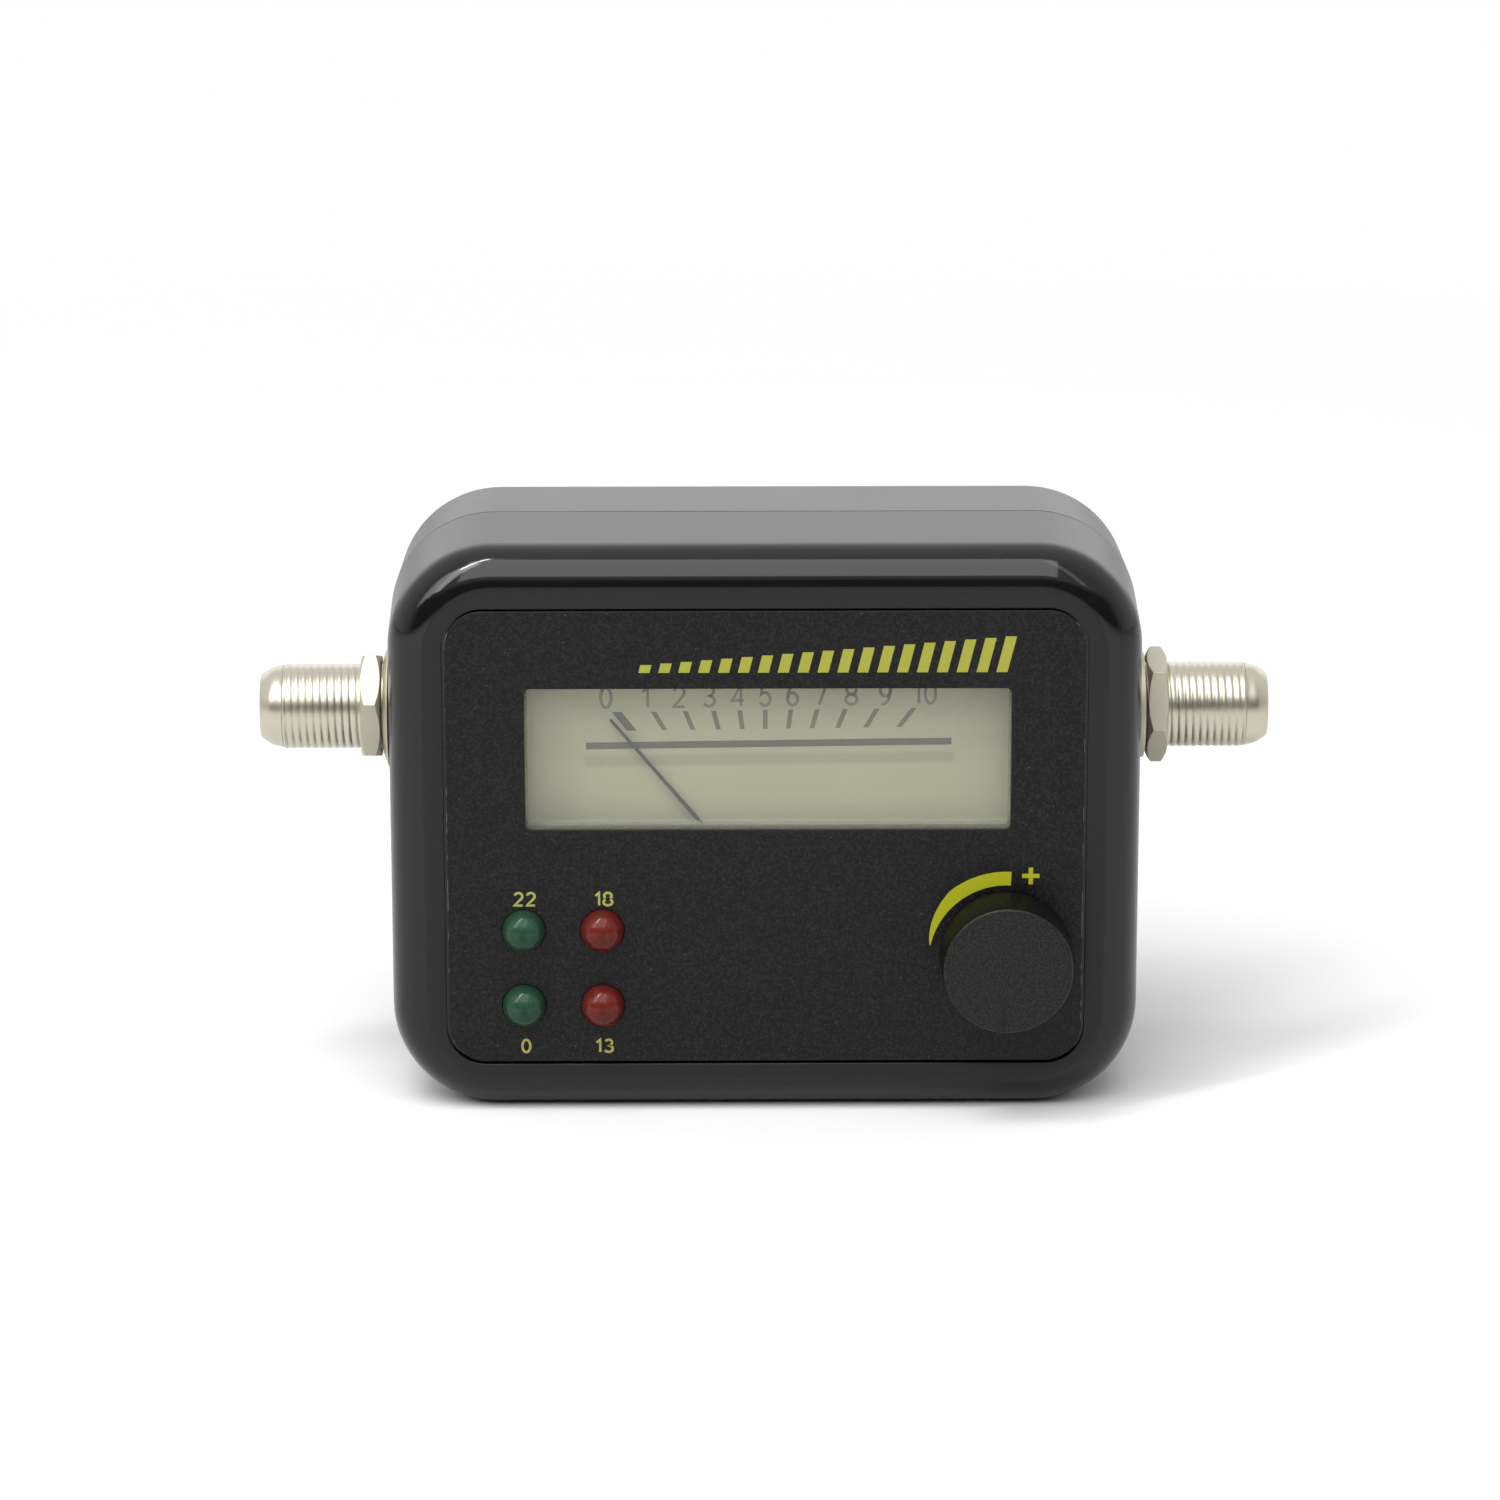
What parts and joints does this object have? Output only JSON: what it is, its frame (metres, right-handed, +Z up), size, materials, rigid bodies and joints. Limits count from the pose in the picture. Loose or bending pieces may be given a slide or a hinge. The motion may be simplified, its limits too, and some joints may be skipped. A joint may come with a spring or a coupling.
{
  "type": "satellite signal meter",
  "caption": "Hand-held satellite signal meter: black moulded case with a moving-coil dial, signal lamps, a gain knob and a threaded coaxial socket on each side.",
  "frame": {"origin": "middle of the flat base that the case stands on", "axes": "+Z up, the dial and knob face -Y, +X to the right as the user sees the front, along the two sockets"},
  "size_m": [0.1116, 0.0395, 0.0637],
  "materials": {
    "case_plastic": "moulded black, semi-matt",
    "label_film": "printed film, matt black",
    "clear_plastic": "clear moulded plastic, glossy",
    "meter_plastic": "moulded off-white",
    "dial_card": "matt pale green-grey enamel",
    "needle_metal": "satin black",
    "copper_wire": "enamelled copper winding",
    "steel": "zinc-plated or turned steel",
    "magnet": "dark sintered metal",
    "brass": "stamped or drawn brass",
    "knob_plastic": "moulded black, satin",
    "blue_resin": "blue moulding or sleeve",
    "nickel": "warm bright nickel plate",
    "black_resin": "black moulding compound",
    "board_laminate": "green glass-fibre laminate",
    "insulator": "white polymer",
    "green_lamp": "tinted clear resin",
    "red_lamp": "tinted clear resin"
  },
  "bodies": {
    "case": {"front_shell": "case_plastic", "rear_shell": "case_plastic", "front_label": "label_film", "meter_lens": "clear_plastic", "meter_case": "meter_plastic", "dial_plate": "dial_card", "core_magnet": "magnet", "flux_ring": "steel", "front_bridge": "brass", "rear_bridge": "brass", "front_hairspring": "brass", "rear_hairspring": "brass", "meter_pin_left": "brass", "meter_pin_right": "brass", "pot_body": "blue_resin", "pot_bushing": "nickel", "pot_track": "black_resin", "pot_terminal_1": "brass", "pot_terminal_2": "brass", "pot_terminal_3": "brass", "circuit_board": "board_laminate", "amplifier_chip": "black_resin", "small_capacitor": "blue_resin", "large_capacitor": "blue_resin", "signal_choke": "magnet", "voltage_regulator": "black_resin", "case_screw_1": "steel", "board_screw_1": "steel", "case_screw_2": "steel", "board_screw_2": "steel", "case_screw_3": "steel", "board_screw_3": "steel", "case_screw_4": "steel", "board_screw_4": "steel", "connector_barrel_left": "nickel", "connector_washer_left": "nickel", "connector_nut_left": "nickel", "connector_insulator_left": "insulator", "connector_contact_left": "brass", "connector_barrel_right": "nickel", "connector_washer_right": "nickel", "connector_nut_right": "nickel", "connector_insulator_right": "insulator", "connector_contact_right": "brass", "signal_lamp_upper_green": "green_lamp", "signal_lamp_upper_red": "red_lamp", "signal_lamp_lower_green": "green_lamp", "signal_lamp_lower_red": "red_lamp"},
    "needle": {"needle": "needle_metal", "moving_coil": "copper_wire", "front_pivot_staff": "steel", "rear_pivot_staff": "steel"},
    "knob": {"gain_knob": "knob_plastic", "pot_shaft": "steel", "pot_wiper": "brass"}
  },
  "joints": [
    {"name": "needle_swing", "type": "hinge", "parent": "case", "child": "needle", "pos_m": [0.0003, -0.0118, 0.0232], "axis": [0, 1, 0], "range_deg": [0, 80], "stiffness_Nm_per_rad": 0.00001, "springref_deg": -11.46},
    {"name": "gain_turn", "type": "hinge", "parent": "case", "child": "knob", "pos_m": [0.0263, -0.0165, 0.0182], "axis": [0, 1, 0], "range_deg": [0, 300]}
  ]
}
